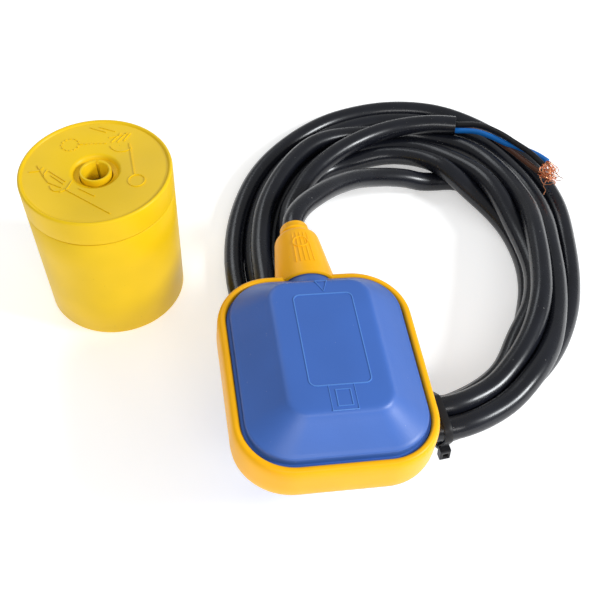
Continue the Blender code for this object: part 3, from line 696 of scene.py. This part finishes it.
def make_plateau_relief(finish):
    """Raised outlines on the upper casing: a label panel, two plain squares, and an arrow."""
    level = CASING_HALF_HEIGHT
    panel = rounded_outline(11.9, -19.2, 24.6, 2.6, steps=6)
    panel = [(x + 0.9, y) for x, y in panel]
    square = [(-4.2, -30.4), (-4.2, -19.2), (5.6, -19.2), (5.6, -30.4)]
    inner = [(-1.8, -28.6), (-1.8, -21.4), (3.8, -21.4), (3.8, -28.6)]
    arrow = [(-1.0, 31.4), (3.8, 31.4), (1.8, 25.9)]
    parts = [
        strip(panel, 0.65, 0.3, level, True), strip(square, 0.5, 0.24, level, True),
        strip(inner, 0.7, 0.3, level, True), strip(arrow, 0.7, 0.3, level, True),
    ]
    points, faces = merged(*parts)
    relief = skin("casing_relief", in_float(points), faces, finish, smooth=25.0)
    place(relief, "float_and_cable", "float_blue")


def make_gland(finish):
    profile = [
        (CABLE_R + 0.25, 72.0), (GLAND_R, 72.0), (GLAND_R, 77.0), (GLAND_R + GLAND_BEAD, 77.3),
        (GLAND_R + GLAND_BEAD, 78.2), (GLAND_R, 78.5), (GLAND_R, GLAND_END_Y - 0.9),
        (GLAND_R - 0.3, GLAND_END_Y - 0.25),
        (GLAND_R - 0.9, GLAND_END_Y), (CABLE_R + 0.25, GLAND_END_Y),
    ]
    points, faces = turned(profile, axis="y", steps=64)
    collar = skin("gland_collar", in_float(points), faces, finish, smooth=50.0)
    place(collar, "float_and_cable", "float_yellow", "gland_ring")


# ---------------------------------------------------------------- counterweight


def weight_radius(height):
    return WEIGHT_BASE_R + (WEIGHT_TOP_R - WEIGHT_BASE_R) * height / WEIGHT_HEIGHT


def make_counterweight(lemon):
    seam = WEIGHT_HEIGHT - LID_HEIGHT
    body = [
        (BORE_R + 2.0, WEIGHT_FLOOR), (BORE_R + 2.0, 0.0),
        (weight_radius(0) - 1.3, 0.0), (weight_radius(0) - 0.45, 0.35),
        (weight_radius(1), 1.2), (weight_radius(20), 20.0), (weight_radius(45), 45.0),
        (weight_radius(seam) - 0.02, seam - 0.75), (weight_radius(seam) - 0.3, seam - 0.38),
        (weight_radius(seam) - WEIGHT_WALL, seam - 0.38), (weight_radius(4) - WEIGHT_WALL, WEIGHT_FLOOR),
    ]
    points, faces = turned(body, WEIGHT_CENTRE, steps=112)
    shell = skin("weight_shell", points, faces, lemon, smooth=40.0)
    place(shell, "counterweight", "weight_yellow", "weight_body")
    top, rim = WEIGHT_HEIGHT, weight_radius(WEIGHT_HEIGHT)
    lid = [
        (CLIP_OUTER_R + CLEARANCE, LID_HUB_FOOT), (BORE_R + 2.6, LID_HUB_FOOT), (BORE_R + 2.6, top - 4.0),
        (weight_radius(seam) - 5.5, top - 4.0), (weight_radius(seam) - 5.5, seam - 4.5),
        (weight_radius(seam) - WEIGHT_WALL - 0.7, seam - 4.5),
        (weight_radius(seam) - WEIGHT_WALL - 0.6, seam + 0.02),
        (weight_radius(seam) - 0.3, seam + 0.02), (weight_radius(seam) + 0.05, seam + 0.35),
        (rim - 0.02, top - 1.3), (rim - 0.12, top - 0.75), (rim - 0.4, top - 0.3), (rim - 0.85, top - 0.05),
        (rim - 1.3, top - 0.12), (rim - 1.75, top - 0.5), (rim - 2.1, top - 0.95),
        (rim - 2.6, top - LID_RECESS),
        (MOUTH_R + 1.1, top - LID_RECESS), (MOUTH_R + 0.4, top - 1.3), (MOUTH_R - 0.2, top - 2.0),
        (MOUTH_R - 0.7, top - 3.2), (CLIP_OUTER_R + 1.3, top - 3.8), (CLIP_OUTER_R + CLEARANCE, top - 4.0),
    ]
    points, faces = turned(lid, WEIGHT_CENTRE, steps=112)
    cap = skin("weight_cap", points, faces, lemon, smooth=40.0)
    place(cap, "counterweight", "weight_yellow", "weight_lid")


def dashes(spots):
    """Short pieces of a line of points, every other one left out."""
    return [spots[i:i + 2] for i in range(0, len(spots) - 1, 2)]


def make_lid_relief(lemon):
    """Raised line drawings on the lid: a float on its cable in two positions, with a pump's outline."""
    level = WEIGHT_HEIGHT - LID_RECESS
    width, height = 0.62, 0.42
    lines = [
        circle(18.6, -6.0, 3.6), [(17.2, -2.2), (12.8, 17.8)],
        circle(9.6, 17.6, 5.2, 200, 130, 14), [(4.8, 18.4), (8.4, 24.6)], [(7.4, 18.6), (11.0, 25.0)],
        [(10.2, 19.4), (12.6, 24.8)], [(3.4, 21.5), (12.0, 24.4)], [(-6.0, 28.3), (1.6, 25.2)],
        [(-1.8, 28.6), (5.6, 25.8)],
        [(-11.6, -11.4), (9.6, -26.0)], [(-5.4, -11.2), (1.8, -15.6)],
        [(-25.6, 3.0), (-21.4, -4.0)], [(-28.6, -1.0), (-24.0, 0.0), (-22.8, 2.0)],
        [(-20.8, 0.6), (-22.0, -3.4), (-19.0, -7.6), (-13.0, -10.6)],
        [(-19.8, -0.4), (-11.8, -6.8)], [(-18.6, -3.2), (-12.4, -8.4)],
        circle(-14.6, -9.6, 3.2, 180, 140, 12),
        [(-9.0, -6.4), (-10.4, -11.0), (-13.2, -13.4)],
    ]
    lines += dashes(circle(-13.2, 16.8, 3.9, 0, 360, 24))
    lines += dashes([(-9.0 + 1.05 * i, 17.2 + 0.06 * i) for i in range(13)])
    parts = [strip(line, width, height, level, len(line) == CIRCLE_STEPS) for line in lines]
    points, faces = merged(*parts)
    points = [(x + WEIGHT_CENTRE[0], y + WEIGHT_CENTRE[1], z) for x, y, z in points]
    place(skin("lid_relief", points, faces, lemon, smooth=25.0), "counterweight", "weight_yellow")


def make_clip(lemon):
    """The split ring in the mouth: a turned wall with rounded lips, open at the rear."""
    profile = [
        (CLIP_INNER_R, CLIP_BOTTOM), (CLIP_OUTER_R - 0.6, CLIP_BOTTOM), (CLIP_OUTER_R, CLIP_TOP - 2.0),
        (CLIP_OUTER_R, CLIP_TOP - 0.6), (CLIP_OUTER_R - 0.2, CLIP_TOP - 0.12), (CLIP_OUTER_R - 0.6, CLIP_TOP),
        (CLIP_INNER_R + 0.35, CLIP_TOP - 0.1), (CLIP_INNER_R, CLIP_TOP - 0.5),
    ]
    rings = []
    steps = 60
    for i in range(steps + 1):
        angle = math.radians(90 + CLIP_SPLIT / 2 + (360 - CLIP_SPLIT) * i / steps)
        rings.append([
            (WEIGHT_CENTRE[0] + r * math.cos(angle), WEIGHT_CENTRE[1] + r * math.sin(angle), z)
            for r, z in profile
        ])
    points, faces = lofted(rings)
    place(skin("split_ring", points, faces, lemon, smooth=45.0), "clip", "weight_yellow", "clip_ring")


# ---------------------------------------------------------------- cable and its end


def make_cable(finish):
    route = laid_cable()
    cable = tube("cable", route, CABLE_R, finish, sides=7)
    place(cable, "float_and_cable", "cable_rubber", "cable_lead", "cable_coil", "cable_tail")
    length = float(np.linalg.norm(np.diff(route, axis=0), axis=1).sum()) * MM
    return cable, route, length


def make_cut_end(route, finish):
    """The pale, flat face where the jacket was cut."""
    end = Vector(route[-1])
    ahead = (end - Vector(route[-3])).normalized()
    points, faces = bar([end, end + ahead * 0.15], CABLE_R - 0.25, 40)
    return place(skin("jacket_cut", points, faces, finish), "float_and_cable", "cable_rubber")


def make_cores(black, blue, brown):
    routes = (
        ("bare_core_black", "core_black", black, [
            (118.0, 150.9, 16.6), (130.2, 146.3, 20.0), (139.5, 137.6, 22.0), (146.2, 128.6, 23.2),
            (152.6, 120.4, 23.8), (158.2, 111.6, 23.3)]),
        ("bare_core_blue", "core_blue", blue, [
            (118.2, 148.4, 14.6), (127.9, 144.1, 17.6), (135.0, 138.5, 19.2), (143.0, 131.5, 19.9),
            (151.4, 126.2, 20.6), (157.0, 120.6, 21.8), (160.9, 114.8, 22.8)]),
        ("bare_core_brown", "core_brown", brown, [
            (118.4, 152.6, 13.6), (128.9, 148.4, 14.4), (136.2, 143.0, 15.4), (142.0, 133.6, 17.0),
            (145.6, 126.9, 18.6), (150.5, 118.1, 19.8), (157.1, 108.4, 20.4)]),
    )
    made = []
    for name, node, finish, spots in routes:
        core = tube(name, smooth_path(spots, 2.0), 1.5, finish, sides=5)
        made.append(place(core, "float_and_cable", node, node))
    return made


def make_copper(finish):
    """Bare strands that fray out of the three cores' ends into a tuft."""
    rng = np.random.default_rng(7)
    middle = np.array((162.0, 105.6, 21.6))
    starts = np.array(((158.0, 112.0, 23.3), (160.7, 115.2, 22.7), (156.7, 108.8, 20.4)))
    parts = []
    for i in range(COPPER_STRANDS):
        start = starts[i % 3] + rng.normal(0, 0.45, 3)
        goal = middle + rng.normal(0, 1.0, 3) * np.array((1.7, 2.9, 1.4))
        bend = (start + goal) / 2 + rng.normal(0, 1.5, 3)
        curl = goal + rng.normal(0, 1.6, 3)
        line = smooth_path([start, bend, goal, curl], 0.9)
        parts.append(bar(line, COPPER_R, 5))
    hook = [(0.0, 0.0, 0.0), (-3.0, -2.6, -1.4), (-4.6, -5.4, -2.6), (-3.6, -7.0, -3.6), (-5.0, -9.6, -4.2)]
    stray = smooth_path([middle + offset for offset in hook], 0.8)
    parts.append(bar(stray, STRAY_R, 5))
    points, faces = merged(*parts)
    tuft = skin("copper_tuft", points, faces, finish, smooth=70.0)
    return place(tuft, "float_and_cable", "copper", "copper_strands")


def section_loop(route, angle, clearance):
    """The taut outline round every strand that crosses the band at this angle, as (inset, height)."""
    foot = Vector(band_point(angle, 0.0, 0.0))
    inwards = (Vector(band_point(angle, 10.0, 0.0)) - foot).normalized()
    across = Vector((-inwards.y, inwards.x, 0.0))
    spots = []
    for a, b in zip(route[:-1], route[1:]):
        first, second = (Vector(a) - foot), (Vector(b) - foot)
        near, far = first.dot(across), second.dot(across)
        if near * far > 0 or not -20 < first.dot(inwards) < 50:
            continue
        mid = first.lerp(second, abs(near) / max(abs(near) + abs(far), 1e-9))
        for k in range(24):
            turn = 2 * math.pi * k / 24
            reach = CABLE_R + clearance
            spots.append((mid.dot(inwards) + reach * math.cos(turn), mid.z + reach * math.sin(turn)))
    spots.sort()
    hull = []
    for side in (spots, spots[::-1]):
        chain = []
        for spot in side:
            while len(chain) > 1:
                (ax, ay), (bx, by) = chain[-2], chain[-1]
                if (bx - ax) * (spot[1] - ay) - (by - ay) * (spot[0] - ax) > 0:
                    break
                chain.pop()
            chain.append(spot)
        hull += chain[:-1]
    return foot, inwards, across, hull


def make_tie(route, finish):
    """A cable tie drawn round the bundle, with its square head outside it."""
    foot, inwards, across, hull = section_loop(route, TIE_ANGLE, TIE_CLEARANCE)
    ends = np.array([*hull, hull[0]])
    along = np.concatenate([[0.0], np.cumsum(np.linalg.norm(np.diff(ends, axis=0), axis=1))])
    wanted = np.linspace(0, along[-1], TIE_STEPS + 1)[:-1]
    line = np.column_stack([np.interp(wanted, along, ends[:, k]) for k in range(2)])
    middle = line.mean(axis=0)
    away = line - middle
    away /= np.linalg.norm(away, axis=1)[:, None]
    rings = []
    for spot, out in zip(line, away):
        ring = []
        for shift, lift in TIE_SECTION:
            inset, height = spot + out * lift
            ring.append(tuple(foot + inwards * inset + across * shift + Vector((0, 0, max(height, 0.05)))))
        rings.append(ring)
    points, faces = lofted(rings, closed=True)
    strap = skin("tie_band", points, faces, finish, smooth=40.0)
    place(strap, "float_and_cable", "switch_black", "tie_strap")
    edge = min(inset for inset, height in line if abs(height - TIE_HEAD_HEIGHT) < 1.5)
    centre = foot + inwards * (edge - TIE_HEAD_OUT) + Vector((0, 0, TIE_HEAD_HEIGHT))

    def block_ring(half_x, half_z, inset):
        corners = ((-half_x, -half_z), (half_x, -half_z), (half_x, half_z), (-half_x, half_z))
        return [tuple(centre + across * x + inwards * inset + Vector((0, 0, z))) for x, z in corners]

    block = lofted([
        block_ring(1.9, 2.5, -1.9), block_ring(2.3, 2.9, -1.5),
        block_ring(2.3, 2.9, 1.4), block_ring(1.9, 2.5, 1.8),
    ])
    hollow = [block_ring(1.2, 1.5, -2.2), block_ring(1.2, 1.5, -0.7)]
    head = skin("tie_lock", *block, finish, smooth=30.0)
    cutter = skin("tie_lock_cut", *lofted(hollow), finish)
    cut = head.modifiers.new("slot", "BOOLEAN")
    cut.operation = "DIFFERENCE"
    cut.solver = "EXACT"
    cut.object = cutter
    bpy.context.view_layer.update()
    graph = bpy.context.evaluated_depsgraph_get()
    solid = bpy.data.meshes.new_from_object(head.evaluated_get(graph))
    head.modifiers.clear()
    head.data = solid
    bpy.data.objects.remove(cutter)
    place(head, "float_and_cable", "switch_black", "tie_head")
    return strap, head


# ---------------------------------------------------------------- camera, light and floor


def make_camera():
    lens = bpy.data.cameras.new("camera")
    lens.lens = CAMERA_LENS
    lens.sensor_width = CAMERA_SENSOR
    lens.clip_start, lens.clip_end = 0.01, 10.0
    camera = bpy.data.objects.new("camera", lens)
    camera.location = Vector(CAMERA_AT) * MM
    camera.rotation_euler = (math.radians(CAMERA_TILT), 0.0, 0.0)
    bpy.context.scene.collection.objects.link(camera)
    bpy.context.scene.camera = camera


def area_light(name, at, aim, size, power, colour=(1.0, 1.0, 1.0)):
    """A rectangular light, in metres and watts, turned towards aim."""
    lamp = bpy.data.lights.new(name, "AREA")
    lamp.shape = "RECTANGLE"
    lamp.size, lamp.size_y = size
    lamp.energy = power
    lamp.color = colour
    made = bpy.data.objects.new(name, lamp)
    made.location = Vector(at)
    made.rotation_euler = (Vector(at) - Vector(aim)).to_track_quat("Z", "Y").to_euler()
    bpy.context.scene.collection.objects.link(made)


def make_stage():
    """A pale floor, a pale world and soft lights."""
    bpy.context.scene.view_settings.view_transform = "Standard"
    world = bpy.data.worlds.new("studio")
    world.use_nodes = True
    backdrop = world.node_tree.nodes["Background"]
    backdrop.inputs["Color"].default_value = (0.97, 0.985, 1.0, 1.0)
    backdrop.inputs["Strength"].default_value = 0.40
    bpy.context.scene.world = world
    paper = Nodes("paper", (0.96, 0.96, 0.96), 0.9, specular=0.1)
    tint = paper.ramp(paper.noise(3.0), [(0.3, (0.90, 0.90, 0.90)), (0.7, (0.92, 0.92, 0.92))])
    paper.feed("Base Color", tint)
    paper.shader.inputs["Emission Color"].default_value = (1.0, 1.0, 1.0, 1.0)
    paper.shader.inputs["Emission Strength"].default_value = 0.40
    sides = ((-1, -1), (1, -1), (1, 1), (-1, 1))
    corners = [(x * FLOOR_HALF, y * FLOOR_HALF, FLOOR_LEVEL) for x, y in sides]
    floor = skin("floor", corners, [(0, 1, 2, 3)], paper.made)
    area_light(
        "key", at=(1.15, -0.22, 0.75), aim=(0.05, 0.03, 0.0), size=(0.3, 0.3), power=14.0,
        colour=(0.95, 0.98, 1.0),
    )
    area_light("front", at=(0.1, -0.85, 0.75), aim=(0.05, 0.03, 0.0), size=(0.9, 0.25), power=4.2)
    area_light(
        "rear", at=(-0.35, 0.75, 0.75), aim=(0.05, 0.05, 0.0), size=(0.5, 0.25), power=1.5,
        colour=(0.92, 0.96, 1.0),
    )


def main():
    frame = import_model()
    make_camera()
    make_stage()

    yellow = moulded("float_yellow", (0.98, 0.46, 0.003), 0.36)
    blue = moulded(
        "float_blue", (0.040, 0.126, 0.45), 0.42, relief=0.07, fleck=(0.45, 0.48, 0.55), specular=0.55
    )
    # The plateau relief is the casing's own blue plastic; its lighter blue is a painted highlight on the
    # raised lines.
    highlit_blue = moulded("float_blue_painted_highlight", (0.085, 0.225, 0.60), 0.42, specular=0.5)
    lemon = moulded("weight_yellow", (0.84, 0.545, 0.006), 0.38, fleck=(0.22, 0.15, 0.02))
    rubber = jacket("cable_rubber")
    cut_face = moulded("jacket_cut_face", (0.10, 0.105, 0.115), 0.55)
    seal = moulded("seal_rubber", (0.012, 0.012, 0.013), 0.65)
    nylon = moulded("clamp_nylon", (0.30, 0.31, 0.33), 0.5)
    natural = moulded("box_plastic", (0.72, 0.70, 0.64), 0.5)
    black = moulded("switch_black", (0.014, 0.014, 0.016), 0.42)
    core_black = moulded("core_black", (0.012, 0.012, 0.014), 0.36)
    core_blue = moulded("core_blue", (0.008, 0.150, 0.52), 0.34)
    core_brown = moulded("core_brown", (0.085, 0.036, 0.022), 0.36)
    steel = metal("steel", (0.62, 0.62, 0.64), 0.24)
    brass = metal("brass", (0.72, 0.53, 0.22), 0.3)
    copper = metal("copper", (0.86, 0.36, 0.18), 0.30)
    iron = metal("ballast_iron", (0.20, 0.20, 0.21), 0.6, 0.3)
    foam = foamed("foam", (0.85, 0.80, 0.62))

    make_casing(1, "casing_top", "casing_upper", blue)
    make_casing(-1, "casing_bottom", "casing_lower", blue)
    make_belt(yellow)
    make_neck_relief(yellow, blue)
    make_plateau_relief(highlit_blue)
    make_gland(yellow)
    make_counterweight(lemon)
    make_lid_relief(lemon)
    make_clip(lemon)
    cable, route, length = make_cable(rubber)
    cut = make_cut_end(route, cut_face)
    cores = make_cores(core_black, core_blue, core_brown)
    tuft = make_copper(copper)
    strap, head = make_tie(route, black)

    inside = {
        "cable_seal": (seal, "seal_rubber"), "cable_clamp": (nylon, "clamp_nylon"),
        "cable_in_neck": (seal, "seal_rubber"), "switch_box_tray": (natural, "box_plastic"),
        "switch_box_lid": (natural, "box_plastic"), "ball_cradle": (natural, "box_plastic"),
        "steel_ball": (steel, "steel"), "actuator_lever": (steel, "steel"), "lever_pin": (steel, "steel"),
        "microswitch_body": (black, "switch_black"), "microswitch_cover": (natural, "box_plastic"),
        "microswitch_plunger": (natural, "box_plastic"), "terminal_closed": (brass, "brass"),
        "terminal_common": (brass, "brass"), "terminal_open": (brass, "brass"),
        "inner_core_black": (core_black, "core_black"), "inner_core_blue": (core_blue, "core_blue"),
        "inner_core_brown": (core_brown, "core_brown"), "foam_left": (foam, "foam"),
        "foam_right": (foam, "foam"),
        "weight_ballast": (iron, "ballast_iron"), "weight_bore_tube": (natural, "box_plastic"),
    }
    for name, (finish, slot) in inside.items():
        node = frame["nodes"][name]
        node.data.materials.clear()
        node.data.materials.append(finish)


main()
